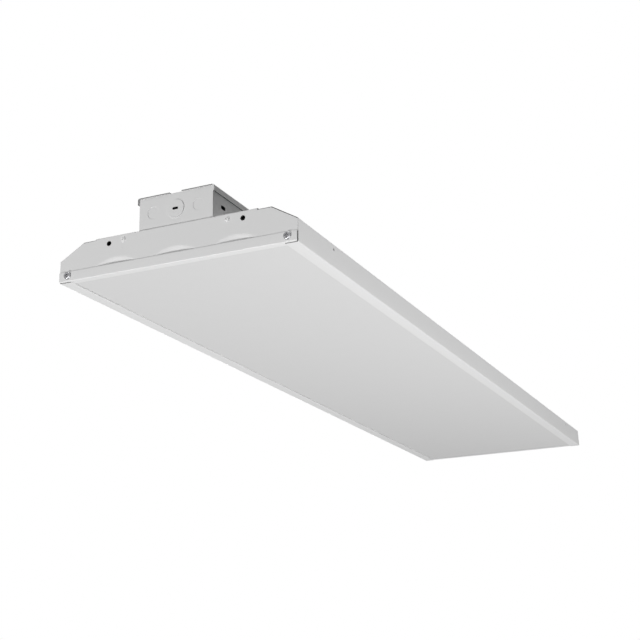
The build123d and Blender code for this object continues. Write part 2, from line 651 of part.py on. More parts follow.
def all_nodes():
    """Every sub-part by its node name."""
    nodes = {"housing": housing(), "lens": lens()}
    plate, stiffener, rail = end_plate(), end_stiffener(), end_rail()
    nodes.update(end_plate_near=plate, end_plate_far=far(plate))
    nodes.update(end_stiffener_near=stiffener, end_stiffener_far=far(stiffener))
    nodes.update(end_rail_near=rail, end_rail_far=far(rail))
    grip = PLATE_SHEET + STIFFENER_SHEET
    rail_grip = RAIL_SHEET + PLATE_SHEET + RAIL_SCREW_TAIL
    for name, side in (("left", 1), ("right", -1)):
        nodes[f"lens_cushion_{name}"] = lens_cushion(side)
        place = (-HALF_LENGTH, side * RAIL_SCREW_Y, RAIL_SCREW_HEIGHT)
        head = (RAIL_SCREW_HEAD, RAIL_SCREW_HEAD_HEIGHT)
        fastener = screw(place, (1, 0, 0), *head, RAIL_SCREW_SHANK, rail_grip)
        nodes[f"rail_screw_near_{name}"] = fastener
        nodes[f"rail_screw_far_{name}"] = far(fastener)
        fastener = rivet((PLATE_FRONT, side * PLATE_RIVET_Y, PLATE_RIVET_Z), (1, 0, 0), grip)
        nodes[f"plate_rivet_near_{name}"] = fastener
        nodes[f"plate_rivet_far_{name}"] = far(fastener)
    flange_grip = grip + HOUSING_SHEET
    pair = [
        rivet((FLANGE_RIVET_X, side * FLANGE_RIVET_Y, PLATE_TOP), (0, 0, -1), flange_grip) for side in (-1, 1)
    ]
    nodes["flange_rivets_near"] = Compound(children=pair)
    nodes["flange_rivets_far"] = Compound(children=[far(one) for one in pair])
    nodes.update(box_body=box_body(), box_cover=box_cover(), driver=driver(), bushing=bushing())
    for number, (x, side) in enumerate(cover_screw_places(), 1):
        seat = (x, side * (COVER_INSIDE + COVER_SHEET), BOX_TOP - COVER_SCREW_DROP)
        length = COVER_SHEET + COVER_SIDE_GAP + BOX_SHEET + COVER_SCREW_TAIL
        nodes[f"cover_screw_{number}"] = screw(
            seat, (0, -side, 0), COVER_SCREW_HEAD, COVER_SCREW_HEAD_HEIGHT, COVER_SCREW_SHANK, length
        )
    for number, (x, y) in enumerate(box_screw_places(), 1):
        nodes[f"box_screw_{number}"] = floor_screw((x, y, BOX_FLOOR), BOX_FLOOR - ROOF_UNDERSIDE)
    for number, (x, y) in enumerate(driver_screw_places(), 1):
        seat = (x, y, BOX_FLOOR + DRIVER_FOOT_SHEET)
        nodes[f"driver_screw_{number}"] = floor_screw(seat, seat[2] - ROOF_UNDERSIDE)
    nodes["ground_screw"] = floor_screw((*ground_screw_place(), BOX_FLOOR), BOX_FLOOR - ROOF_UNDERSIDE)
    for name, y in ROWS.items():
        nodes[f"led_board_near_{name}"] = led_board(-1, name)
        nodes[f"led_board_far_{name}"] = led_board(1, name)
        nodes[f"led_packages_{name}"] = led_packages(y)
        nodes[f"board_screws_{name}"] = board_screws(y)
    routes = {
        "supply_lead_black": (supply_lead(-1), True),
        "supply_lead_white": (supply_lead(1), True),
        "ground_lead": (ground_lead(), True),
        "output_lead_positive": (output_lead(-1, "centre"), False),
        "output_lead_negative": (output_lead(1, "left"), False),
        "row_jumper_left": (row_jumper(1, "left"), False),
        "row_jumper_right": (row_jumper(-1, "right"), False),
    }
    for name, ((points, radii), has_nut) in routes.items():
        print(name, "radii", radii)
        nodes[name] = lead(points, radii)
        if has_nut:
            direction = Vector(*points[-1]) - Vector(*points[-2])
            nodes[f"wire_nut_{name}"] = wire_nut(points[-1], direction)
    return nodes


os.makedirs("parts", exist_ok=True)
for node_name, node_part in all_nodes().items():
    export_step(node_part, f"parts/{node_name}.step")
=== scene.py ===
import json
import math

import bpy
import numpy as np
from mathutils import Matrix, Vector


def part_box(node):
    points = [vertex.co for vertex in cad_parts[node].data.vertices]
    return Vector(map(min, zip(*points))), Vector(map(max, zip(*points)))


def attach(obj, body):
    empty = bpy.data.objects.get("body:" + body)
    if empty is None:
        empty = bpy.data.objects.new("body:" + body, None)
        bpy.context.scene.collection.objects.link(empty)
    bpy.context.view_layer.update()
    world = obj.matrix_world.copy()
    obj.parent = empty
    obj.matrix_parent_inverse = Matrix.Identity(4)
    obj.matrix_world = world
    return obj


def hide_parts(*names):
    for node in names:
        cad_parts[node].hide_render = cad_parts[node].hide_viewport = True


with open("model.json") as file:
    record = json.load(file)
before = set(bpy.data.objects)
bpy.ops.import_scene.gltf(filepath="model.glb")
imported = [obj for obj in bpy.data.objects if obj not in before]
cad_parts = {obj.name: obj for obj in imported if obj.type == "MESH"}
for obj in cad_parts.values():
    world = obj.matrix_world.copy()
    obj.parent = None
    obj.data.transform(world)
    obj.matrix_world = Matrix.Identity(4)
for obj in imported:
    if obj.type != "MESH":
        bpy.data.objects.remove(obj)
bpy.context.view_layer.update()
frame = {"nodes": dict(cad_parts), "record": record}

# The looks of a linear high bay light. X runs along the fixture with the wiring box towards -X, Y runs across it
# and Z points up. Sizes below are millimetres, and a mesh becomes metres when it is made.
MM = 0.001
HOUSING_SHEET = 1.0
HOUSING_BEND = 1.6
RETURN_FLANGE = 15.4
SIDE_HEIGHT = 27.5
SHOULDER_RUN = 31.3
GUARD_HOLE_RADIUS = 1.6
GUARD_HOLE_SETBACK = 95.6
GUARD_HOLE_HEIGHT = 21.9
GUARD_HOLE_BLOCK = 4.0
RAIL_SHEET = 1.5
RAIL_BEND = 0.9
RAIL_LIP_GAP = 0.9
RAIL_LAST_ROW = 0.05
PLATE_SHEET = 1.2
PLATE_BEND = 1.5
PLATE_TOP_DROP = 0.7
PLATE_EDGE = 152.25
PLATE_EDGE_BEHIND_RAIL = 150.6
PLATE_SIDE_HEIGHT = 26.6
PLATE_ROOF_HALF = 120.82
PLATE_SLOPE_START = 3.0
TOP_FLANGE_DEPTH = 12.0
PLATE_ROW = 1.1
PLATE_COLUMN = 2.0
ROOF_COLUMNS_END = 118
SHOULDER_COLUMNS_START = 121
TOP_FLANGE_INNER = 52.0
TOP_FLANGE_OUTER = 104.1
TOP_FLANGE_RELIEF = 0.8
HANGER_RADIUS = 3.0
HANGER_Y = 86.3
HANGER_Z = 38.6
HANGER_BLOCK = 6.0
SCOOP_PITCH = 77.0
SCOOP_CHORD = 55.0
SCOOP_RISE = 8.2
SCOOP_DEPTH = 4.3
LENS_FOAM = 0.3
BOX_SHEET = 1.0
BOX_BEND = 1.4
BOX_LIP = 8.0
COVER_SHEET = 1.2
COVER_BEND = 2.2
COVER_SETBACK = 0.2
COVER_STAND_OFF = 0.2
COVER_SHIFT = 0.35
NOTCH_HALF = 7.75
NOTCH_DEPTH = 6.0
KNOCKOUT_RADIUS = 10.7
SMALL_KNOCKOUT_RADIUS = 7.25
SMALL_KNOCKOUT_OFFSET = 29.5
SIDE_KNOCKOUT_SETBACK = 24.0
KNOCKOUT_STEP = 1.0
SMALL_KNOCKOUT_STEP = 0.5
FLUSH_KNOCKOUT_STEP = 0.1
SLUG_GAP = 0.02
BOX_SETBACK = 0.8
BOX_INSET = 0.6
PRY_SLOT_HALF = (3.7, 1.5)
SIDE_SLOT_HALF = (5.0, 2.2)
NO_SLOT_HALF = (0.03, 0.02)
RIVET_RADIUS = 2.9
RIVET_DOME = 1.9
RIVET_DENT = 1.6
PLATE_RIVET_GRIP = 2.4
FLANGE_RIVET_GRIP = 3.4

# Screws, each with its head's radius and height, and its shank's radius and length
RAIL_SCREW = (4.6, 2.2, 1.9, 6.7)
COVER_SCREW = (3.4, 1.8, 1.5, 5.1)

# How far below the rail's top an end plate's edge is still narrow, changes and is wide
EDGE_NARROW = 0.35
EDGE_STEP = 0.32
EDGE_WIDE = 0.3

# Room around a cut edge when its rims are picked, and how much of the dark edge grey, uncoated metal and painted
# shade, the cover's ends take
EDGE_MARGIN = 0.1
PLATE_SIDE_MARGIN = 1.6
COVER_END_STEEL_AND_SHADE = 0.78

# Share of a square block of cells that the round hole in its middle takes
HOLE_SHARE = 0.5


def extent(node):
    """Lowest and highest corner of a CAD node in millimetres."""
    low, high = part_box(node)
    return np.array(low) / MM, np.array(high) / MM


# Camera

CAMERA_PLACE = (-1.7693, -0.7048, -0.4863)
CAMERA_RIGHT = (0.41874, -0.90795, -0.01664)
CAMERA_UP = (-0.26222, -0.13844, 0.95503)
CAMERA_BACK = (-0.86942, -0.39554, -0.29606)

camera_data = bpy.data.cameras.new("camera")
camera_data.lens = 72.87
camera_data.sensor_width = 36.0
camera_data.clip_start = 0.05
camera_data.clip_end = 80.0
camera = bpy.data.objects.new("camera", camera_data)
bpy.context.scene.collection.objects.link(camera)
turn = Matrix((CAMERA_RIGHT, CAMERA_UP, CAMERA_BACK)).transposed()
camera.matrix_world = Matrix.Translation(CAMERA_PLACE) @ turn.to_4x4()
bpy.context.scene.camera = camera


# Node groups that several finishes share

def node_group(name, inputs, outputs):
    """Empty shader node group with its sockets, and its input and output nodes."""
    group = bpy.data.node_groups.new(name, "ShaderNodeTree")
    for label, kind, value in inputs:
        socket = group.interface.new_socket(label, in_out="INPUT", socket_type=kind)
        if value is not None:
            socket.default_value = value
    for label, kind in outputs:
        group.interface.new_socket(label, in_out="OUTPUT", socket_type=kind)
    return group, group.nodes.new("NodeGroupInput"), group.nodes.new("NodeGroupOutput")


def noise(tree, vector, scale, detail):
    """Noise texture whose scale is a number or a socket."""
    node = tree.nodes.new("ShaderNodeTexNoise")
    node.inputs["Detail"].default_value = detail
    tree.links.new(vector, node.inputs["Vector"])
    if isinstance(scale, (int, float)):
        node.inputs["Scale"].default_value = scale
    else:
        tree.links.new(scale, node.inputs["Scale"])
    return node.outputs["Fac"]


def calc(tree, operation, *values):
    """Math node with numbers or sockets as its values."""
    node = tree.nodes.new("ShaderNodeMath")
    node.operation = operation
    for slot, value in zip(node.inputs, values):
        if isinstance(value, (int, float)):
            slot.default_value = value
        else:
            tree.links.new(value, slot)
    return node.outputs[0]


def tinted(tree, colour, amount):
    """Colour times a factor near one."""
    node = tree.nodes.new("ShaderNodeVectorMath")
    node.operation = "SCALE"
    tree.links.new(colour, node.inputs[0])
    tree.links.new(amount, node.inputs["Scale"])
    return node.outputs[0]


SURFACE_INPUTS = [
    ("Vector", "NodeSocketVector", None),
    ("Colour", "NodeSocketColor", (0.8, 0.8, 0.8, 1.0)),
    ("Tone", "NodeSocketFloat", 0.03),
    ("Grain", "NodeSocketFloat", 900.0),
    ("Gloss", "NodeSocketFloat", 0.45),
]
SURFACE_OUTPUTS = [
    ("Colour", "NodeSocketColor"),
    ("Roughness", "NodeSocketFloat"),
    ("Height", "NodeSocketFloat"),
]


def powder_coat_group():
    """Sprayed coat: a slow drift of tone, the soft peel of the melted powder and a finer grain on it."""
    group, give, take = node_group("powder_coat", SURFACE_INPUTS, SURFACE_OUTPUTS)
    vector, colour = give.outputs["Vector"], give.outputs["Colour"]
    drift = noise(group, vector, 5.0, 2.0)
    peel = noise(group, vector, give.outputs["Grain"], 1.0)
    grain = noise(group, vector, calc(group, "MULTIPLY", give.outputs["Grain"], 3.7), 2.0)
    centred = calc(group, "SUBTRACT", drift, 0.5)
    factor = calc(group, "MULTIPLY_ADD", centred, give.outputs["Tone"], 1.0)
    fleck = calc(group, "MULTIPLY_ADD", calc(group, "SUBTRACT", grain, 0.5), 0.03, factor)
    group.links.new(tinted(group, colour, fleck), take.inputs["Colour"])
    rough = calc(group, "MULTIPLY_ADD", calc(group, "SUBTRACT", peel, 0.5), 0.12, give.outputs["Gloss"])
    group.links.new(rough, take.inputs["Roughness"])
    group.links.new(calc(group, "MULTIPLY_ADD", grain, 0.25, peel), take.inputs["Height"])
    return group


def rolled_metal_group():
    """Bare metal: fine streaks along one way, drawn out of a stretched noise, with small stains."""
    group, give, take = node_group("rolled_metal", SURFACE_INPUTS, SURFACE_OUTPUTS)
    stretch = group.nodes.new("ShaderNodeMapping")
    stretch.inputs["Scale"].default_value = (0.06, 1.0, 1.0)
    group.links.new(give.outputs["Vector"], stretch.inputs["Vector"])
    streak = noise(group, stretch.outputs[0], give.outputs["Grain"], 4.0)
    stain = noise(group, give.outputs["Vector"], 160.0, 3.0)
    mixed = calc(group, "ADD", calc(group, "MULTIPLY", streak, 0.6), calc(group, "MULTIPLY", stain, 0.4))
    factor = calc(group, "MULTIPLY_ADD", calc(group, "SUBTRACT", mixed, 0.5), give.outputs["Tone"], 1.0)
    group.links.new(tinted(group, give.outputs["Colour"], factor), take.inputs["Colour"])
    rough = calc(group, "MULTIPLY_ADD", calc(group, "SUBTRACT", stain, 0.5), 0.25, give.outputs["Gloss"])
    group.links.new(rough, take.inputs["Roughness"])
    group.links.new(streak, take.inputs["Height"])
    return group


def moulded_group():
    """Moulded plastic or foam: a fine even grain with faint flow marks."""
    group, give, take = node_group("moulded", SURFACE_INPUTS, SURFACE_OUTPUTS)
    flow = noise(group, give.outputs["Vector"], 40.0, 2.0)
    grain = noise(group, give.outputs["Vector"], give.outputs["Grain"], 2.0)
    factor = calc(group, "MULTIPLY_ADD", calc(group, "SUBTRACT", flow, 0.5), give.outputs["Tone"], 1.0)
    group.links.new(tinted(group, give.outputs["Colour"], factor), take.inputs["Colour"])
    rough = calc(group, "MULTIPLY_ADD", calc(group, "SUBTRACT", grain, 0.5), 0.15, give.outputs["Gloss"])
    group.links.new(rough, take.inputs["Roughness"])
    group.links.new(grain, take.inputs["Height"])
    return group


POWDER_COAT = powder_coat_group()
ROLLED_METAL = rolled_metal_group()
MOULDED = moulded_group()


def finish_of(name, group, colour, tone, grain, gloss, relief, metallic, specular):
    """Material with a shared surface group; relief is the bump's depth in metres."""
    material = bpy.data.materials.new(name)
    material.use_nodes = True
    tree = material.node_tree
    shader = tree.nodes["Principled BSDF"]
    shader.inputs["Metallic"].default_value = metallic
    shader.inputs["Specular IOR Level"].default_value = specular
    place = tree.nodes.new("ShaderNodeTexCoord")
    surface = tree.nodes.new("ShaderNodeGroup")
    surface.name = "surface"
    surface.node_tree = group
    surface.inputs["Colour"].default_value = (*colour, 1.0)
    surface.inputs["Tone"].default_value = tone
    surface.inputs["Grain"].default_value = grain
    surface.inputs["Gloss"].default_value = gloss
    bump = tree.nodes.new("ShaderNodeBump")
    bump.inputs["Distance"].default_value = relief
    tree.links.new(place.outputs["Object"], surface.inputs["Vector"])
    tree.links.new(surface.outputs["Colour"], shader.inputs["Base Color"])
    tree.links.new(surface.outputs["Roughness"], shader.inputs["Roughness"])
    tree.links.new(surface.outputs["Height"], bump.inputs["Height"])
    tree.links.new(bump.outputs["Normal"], shader.inputs["Normal"])
    return material


def edge_steel_and_shade_group():
    """Dark cut edges of a sheet, partly the uncoated metal where the coat draws back and partly painted shade that
    stands in for the shadow falling on them: a mix from the coat's colour to a dark grey by a value on the mesh's
    faces, and a little more roughness with it."""
    group, give, take = node_group(
        "edge_steel_and_shade",
        [
            ("Colour", "NodeSocketColor", (0.8, 0.8, 0.8, 1.0)),
            ("Roughness", "NodeSocketFloat", 0.45),
            ("Steel and shade", "NodeSocketColor", (0.2, 0.2, 0.2, 1.0)),
        ],
        [("Colour", "NodeSocketColor"), ("Roughness", "NodeSocketFloat")],
    )
    edge = group.nodes.new("ShaderNodeAttribute")
    edge.attribute_name = "edge_steel_and_shade"
    mix = group.nodes.new("ShaderNodeMix")
    mix.data_type = "RGBA"
    group.links.new(edge.outputs["Fac"], mix.inputs["Factor"])
    group.links.new(give.outputs["Colour"], mix.inputs[6])
    group.links.new(give.outputs["Steel and shade"], mix.inputs[7])
    group.links.new(mix.outputs[2], take.inputs["Colour"])
    rough = calc(group, "MULTIPLY_ADD", edge.outputs["Fac"], 0.08, give.outputs["Roughness"])
    group.links.new(rough, take.inputs["Roughness"])
    return group


EDGE_STEEL_AND_SHADE = edge_steel_and_shade_group()


def with_edge_steel_and_shade(material, steel_and_shade_grey):
    """Puts the dark cut edges, uncoated metal with painted shade, between a finish's surface and its shader."""
    tree = material.node_tree
    edges = tree.nodes.new("ShaderNodeGroup")
    edges.node_tree = EDGE_STEEL_AND_SHADE
    edges.inputs["Steel and shade"].default_value = (steel_and_shade_grey, steel_and_shade_grey, steel_and_shade_grey, 1.0)
    for socket, target in (("Colour", "Base Color"), ("Roughness", "Roughness")):
        tree.links.new(tree.nodes["surface"].outputs[socket], edges.inputs[socket])
        tree.links.new(edges.outputs[socket], tree.nodes["Principled BSDF"].inputs[target])


# Each finish: group, colour, tone, grain, gloss, relief, metallic, specular level
FINISH_VALUES = {
    "housing_paint": (POWDER_COAT, (0.78, 0.78, 0.78), 0.03, 900.0, 0.46, 6e-6, 0.0, 0.3),
    "end_paint": (POWDER_COAT, (0.78, 0.78, 0.78), 0.03, 950.0, 0.46, 6e-6, 0.0, 0.3),
    "box_paint": (POWDER_COAT, (0.78, 0.78, 0.78), 0.04, 850.0, 0.48, 6e-6, 0.0, 0.2),
    "rivet_paint": (POWDER_COAT, (0.80, 0.80, 0.80), 0.03, 1200.0, 0.40, 4e-6, 0.0, 0.3),
    "zinc_sheet": (ROLLED_METAL, (0.62, 0.63, 0.64), 0.30, 700.0, 0.36, 5e-6, 1.0, 0.5),
    "dark_screw": (ROLLED_METAL, (0.30, 0.30, 0.31), 0.40, 1500.0, 0.24, 5e-6, 1.0, 0.5),
    "zinc_screw": (ROLLED_METAL, (0.66, 0.66, 0.67), 0.30, 1500.0, 0.28, 4e-6, 1.0, 0.5),
    "frosted_lens": (MOULDED, (0.70, 0.70, 0.70), 0.015, 1400.0, 0.55, 5e-6, 0.0, 0.3),
    "foam": (MOULDED, (0.74, 0.74, 0.73), 0.08, 1100.0, 0.85, 1.5e-4, 0.0, 0.5),
    "board_mask": (MOULDED, (0.80, 0.80, 0.78), 0.04, 1600.0, 0.32, 3e-6, 0.0, 0.5),
    "phosphor": (MOULDED, (0.82, 0.62, 0.12), 0.10, 2600.0, 0.40, 1e-5, 0.0, 0.5),
    "driver_case": (ROLLED_METAL, (0.70, 0.70, 0.70), 0.20, 600.0, 0.42, 6e-6, 1.0, 0.5),
    "black_nylon": (MOULDED, (0.02, 0.02, 0.02), 0.10, 1300.0, 0.45, 1e-5, 0.0, 0.5),
    "nut_orange": (MOULDED, (0.62, 0.12, 0.01), 0.08, 1300.0, 0.40, 1e-5, 0.0, 0.5),
    "nut_green": (MOULDED, (0.01, 0.16, 0.03), 0.08, 1300.0, 0.40, 1e-5, 0.0, 0.5),
    "lead_black": (MOULDED, (0.015, 0.015, 0.015), 0.10, 1500.0, 0.30, 6e-6, 0.0, 0.5),
    "lead_white": (MOULDED, (0.74, 0.74, 0.73), 0.04, 1500.0, 0.30, 6e-6, 0.0, 0.5),
    "lead_green": (MOULDED, (0.01, 0.16, 0.03), 0.08, 1500.0, 0.30, 6e-6, 0.0, 0.5),
    "lead_red": (MOULDED, (0.42, 0.01, 0.01), 0.08, 1500.0, 0.30, 6e-6, 0.0, 0.5),
    "lead_blue": (MOULDED, (0.01, 0.03, 0.30), 0.08, 1500.0, 0.30, 6e-6, 0.0, 0.5),
}
FINISHES = {name: finish_of(name, *values) for name, values in FINISH_VALUES.items()}

# Dark grey at the cut edges of each coated sheet: the uncoated metal, with painted shade that makes the box's edges
# near black
for name, steel_and_shade_grey in (("housing_paint", 0.16), ("end_paint", 0.16), ("box_paint", 0.04)):
    with_edge_steel_and_shade(FINISHES[name], steel_and_shade_grey)


# Surfaces worked out on grids

def fold(corners, radius, steps=6):
    """Face of a folded sheet as a line: straight runs between the corners, joined by arcs of one radius.
    The outward normal lies to the left of the way of travel. Returns the length travelled, points and normals."""
    corners = np.array(corners, float)
    ways = np.diff(corners, axis=0)
    ways /= np.linalg.norm(ways, axis=1)[:, None]
    lefts = np.stack([-ways[:, 1], ways[:, 0]], 1)
    points, normals = [corners[:1]], [lefts[:1]]
    for corner, way, following, left, onward in zip(corners[1:-1], ways, ways[1:], lefts, lefts[1:]):
        bend = math.acos(max(-1.0, min(1.0, float(way @ following))))
        side = -math.copysign(1.0, way[0] * following[1] - way[1] * following[0])
        reach = radius * math.tan(bend / 2)
        share = np.linspace(0, 1, steps + 1)[:, None]
        blend = (np.sin((1 - share) * bend) * left + np.sin(share * bend) * onward) / math.sin(bend)
        centre = corner - way * reach - side * radius * left
        points.append(centre + side * radius * blend)
        normals.append(blend)
    points.append(corners[-1:])
    normals.append(lefts[-1:])
    points, normals = np.vstack(points), np.vstack(normals)
    travelled = np.concatenate([[0.0], np.cumsum(np.linalg.norm(np.diff(points, axis=0), axis=1))])
    return travelled, points, normals


def along(line, lengths):
    """Points and unit normals of a folded line at given lengths, by straight interpolation between its stations."""
    travelled, points, normals = line
    spots = np.stack([np.interp(lengths, travelled, points[:, k]) for k in (0, 1)], -1)
    faces = np.stack([np.interp(lengths, travelled, normals[:, k]) for k in (0, 1)], -1)
    return spots, faces / np.linalg.norm(faces, axis=-1, keepdims=True)


def stations(*groups):
    """Grid lines in order, without near doubles."""
    values = np.sort(np.concatenate([np.atleast_1d(np.asarray(g, float)) for g in groups]))
    return values[np.concatenate([[True], np.diff(values) > 1e-4])]


def block(centre, half, rings):
    """Grid lines of a square block of cells around a round hole, one on each side for every ring in the hole."""
    shares = np.append(HOLE_SHARE * np.arange(1, rings + 1) / rings, 1.0)
    return np.concatenate([[centre], centre - half * shares, centre + half * shares])


def rounded(u, v, centre, half, radius):
    """Moves the grid points of a square block onto circles around its centre. A point's share of the half size, along
    its larger offset, gives the circle, which grows to the hole's radius at HOLE_SHARE, and its place on the square
    gives the angle. Past the hole the circles blend back to the square. Returns u, v and share."""
    du, dv = (u - centre[0]) / half, (v - centre[1]) / half
    share = np.maximum(np.abs(du), np.abs(dv))
    safe = np.where(share > 1e-9, share, 1.0)
    p, q = du / safe, dv / safe
    wide = np.abs(p) >= np.abs(q)
    ratio = np.where(wide, q / np.where(wide & (p != 0), p, 1.0), p / np.where(wide | (q == 0), 1.0, q))
    angle = np.where(
        wide, np.where(p >= 0, 0.0, np.pi) + np.pi / 4 * ratio, np.where(q >= 0, 0.5, -0.5) * np.pi - np.pi / 4 * ratio
    )
    circle = radius * np.minimum(share / HOLE_SHARE, 1.0)
    back = np.clip((share - HOLE_SHARE) / (1 - HOLE_SHARE), 0, 1)
    inside = share <= 1 + 1e-7
    moved_u = centre[0] + (1 - back) * circle * np.cos(angle) + back * p * half
    moved_v = centre[1] + (1 - back) * circle * np.sin(angle) + back * q * half
    return np.where(inside, moved_u, u), np.where(inside, moved_v, v), np.where(inside, share, 2.0)


def holed_grid(lengths, across, holes, rings=8):
    """Grid over a sheet with round holes. Each hole has its place along, its place across, its radius and half the
    side of its block. Returns both sets of grid lines, both coordinates of the grid points, and the kept cells, which
    are those with a corner outside every hole."""
    u = stations(lengths, *[block(hole[0], hole[3], rings) for hole in holes])
    v = stations(across, *[block(hole[1], hole[3], rings) for hole in holes])
    grid_u, grid_v = np.meshgrid(u, v, indexing="ij")
    new_u, new_v = grid_u, grid_v
    keep = np.ones((len(u) - 1, len(v) - 1), bool)
    for place_u, place_v, radius, half in holes:
        moved_u, moved_v, share = rounded(grid_u, grid_v, (place_u, place_v), half, radius)
        new_u, new_v = np.where(share < 2, moved_u, new_u), np.where(share < 2, moved_v, new_v)
        low = share <= HOLE_SHARE + 1e-6
        keep &= ~(low[:-1, :-1] & low[1:, :-1] & low[1:, 1:] & low[:-1, 1:])
    return u, v, new_u, new_v, keep


def carried(line, lengths, across, axis):
    """Points and normals of a folded line that is carried along X, for axis 0, or along Y, for axis 1."""
    spots, faces = along(line, lengths)
    points, normals = [spots[..., 0], spots[..., 1]], [faces[..., 0], faces[..., 1]]
    points.insert(axis, across)
    normals.insert(axis, np.zeros_like(across))
    return np.stack(points, -1), np.stack(normals, -1)


def sheet(points, normals, thickness, keep=None, closed=False):
    """Solid sheet from a grid of its outer face. The inner face lies one thickness behind, and each edge of a kept
    cell that has no kept neighbour gets a rim between the two faces. Returns vertices, quads and rims."""
    count = points.shape[0] * points.shape[1]
    index = np.arange(count).reshape(points.shape[:2])
    if closed:
        index = np.vstack([index, index[:1]])
    quads = np.stack([index[:-1, :-1], index[1:, :-1], index[1:, 1:], index[:-1, 1:]], -1)
    quads = quads[keep] if keep is not None else quads.reshape(-1, 4)
    outer = points.reshape(-1, 3)
    facing = np.cross(outer[quads[:, 1]] - outer[quads[:, 0]], outer[quads[:, 3]] - outer[quads[:, 0]])
    if np.sum(facing * normals.reshape(-1, 3)[quads[:, 0]]) < 0:
        quads = quads[:, ::-1]
    edges = np.stack([quads, np.roll(quads, -1, axis=1)], -1).reshape(-1, 2)
    forward, backward = edges[:, 0] * count + edges[:, 1], edges[:, 1] * count + edges[:, 0]
    rim = edges[~np.isin(forward, backward)]
    rims = np.stack([rim[:, 1], rim[:, 0], rim[:, 0] + count, rim[:, 1] + count], -1)
    inner = (points - thickness * normals).reshape(-1, 3)
    faces = np.vstack([quads, quads[:, ::-1] + count, rims])
    used, faces = np.unique(faces, return_inverse=True)
    faces = faces.reshape(-1, 4)
    return np.vstack([outer, inner])[used], faces[: 2 * len(quads)], faces[2 * len(quads) :]


def turned(radii, heights, around, shape=None):
    """Surface of revolution about Z from radii and heights, closed by a point at each end. A shape function may
    change the points, given the angle, radius and height grids. Returns vertices, quads and triangles."""
    angle = np.linspace(0, 2 * np.pi, around, endpoint=False)[:, None]
    radius = np.broadcast_to(np.asarray(radii, float)[None, 1:-1], (around, len(radii) - 2))
    height = np.broadcast_to(np.asarray(heights, float)[None, 1:-1], radius.shape)
    if shape is not None:
        radius, height = shape(angle, radius, height)
    ring = np.stack([radius * np.cos(angle), radius * np.sin(angle), height], -1)
    levels = ring.shape[1]
    index = np.arange(around * levels).reshape(around, levels)
    following = np.roll(index, -1, axis=0)
    quads = np.stack([index[:, :-1], following[:, :-1], following[:, 1:], index[:, 1:]], -1).reshape(-1, 4)
    start, end = around * levels, around * levels + 1
    first = np.stack([np.full(around, start), following[:, 0], index[:, 0]], -1)
    last = np.stack([np.full(around, end), index[:, -1], following[:, -1]], -1)
    poles = np.array([[0, 0, heights[0]], [0, 0, heights[-1]]], float)
    return np.vstack([ring.reshape(-1, 3), poles]), quads, np.vstack([first, last])


def placed(vertices, seat, outward):
    """Turns a part made along +Z so that +Z becomes the outward direction, and moves it to its seat."""
    turn = np.array(Vector((0, 0, 1)).rotation_difference(Vector(outward)).to_matrix())
    return vertices @ turn.T + np.asarray(seat, float)


def piece(name, parts, material, nodes, bevel=0.0, sharp=35.0, steel_and_shade_edges=None):
    """Object from parts, each with vertices in millimetres and one or more face arrays. It rides on the fixture and
    stands for the CAD nodes that it replaces. Where a picker of dark edges is given, it says from the middles of the
    rims in a part's last face array which of them take the dark grey of uncoated metal and painted shade."""
    vertices, faces, edges, base = [], [], [], 0
    for part in parts:
        vertices.append(part[0])
        for group in part[1:]:
            faces.extend((group + base).tolist())
            edges.append(np.zeros(len(group)))
        if steel_and_shade_edges is not None:
            edges[-1] = steel_and_shade_edges(part[0][part[-1]].mean(axis=1)).astype(float)
        base += len(part[0])
    mesh = bpy.data.meshes.new(name)
    mesh.from_pydata((np.vstack(vertices) * MM).tolist(), [], faces)
    if steel_and_shade_edges is not None:
        mesh.attributes.new("edge_steel_and_shade", "FLOAT", "FACE").data.foreach_set("value", np.concatenate(edges))
    mesh.validate()
    mesh.polygons.foreach_set("use_smooth", np.ones(len(mesh.polygons), bool))
    mesh.set_sharp_from_angle(angle=math.radians(sharp))
    mesh.materials.append(FINISHES[material])
    thing = bpy.data.objects.new(name, mesh)
    bpy.context.scene.collection.objects.link(thing)
    if bevel:
        edge = thing.modifiers.new("edge", "BEVEL")
        edge.width = bevel * MM
        edge.segments = 2
        edge.limit_method = "ANGLE"
        edge.angle_limit = math.radians(60)
        edge.harden_normals = True
        edge.use_clamp_overlap = False
    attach(thing, "root")
    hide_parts(*nodes)


def swap_ends(part):
    """The same part at the far end: X is mirrored, and the faces are turned back to point outwards."""
    return (part[0] * np.array([-1.0, 1.0, 1.0]), *[group[:, ::-1] for group in part[1:]])


# Housing

def housing_part():
    """Channel folded from one sheet: the section line of its outer face carried along X, with a small round hole
    near each end of both side walls."""
    low, high = extent("housing")
    half, top = high[1], high[2]
    roof = half - SHOULDER_RUN
    mouth = half - RETURN_FLANGE
    corners = [(-mouth, 0), (-half, 0), (-half, SIDE_HEIGHT), (-roof, top)]
    corners += [(-y, z) for y, z in corners[::-1]]
    line = fold(corners, HOUSING_BEND)
    wall_start = line[0][np.argmax(line[1][:, 1] >= HOUSING_BEND - 1e-6)]
    to_hole = wall_start + GUARD_HOLE_HEIGHT - HOUSING_BEND
    setback = GUARD_HOLE_SETBACK - RAIL_SHEET - PLATE_SHEET
    ends = [low[0] + setback, high[0] - setback]
    holes = [(s, x, GUARD_HOLE_RADIUS, GUARD_HOLE_BLOCK) for s in (to_hole, line[0][-1] - to_hole) for x in ends]
    _, _, s, x, keep = holed_grid(line[0], np.linspace(low[0], high[0], 25), holes, rings=6)
    return sheet(*carried(line, s, x, 0), HOUSING_SHEET, keep)


# End plates

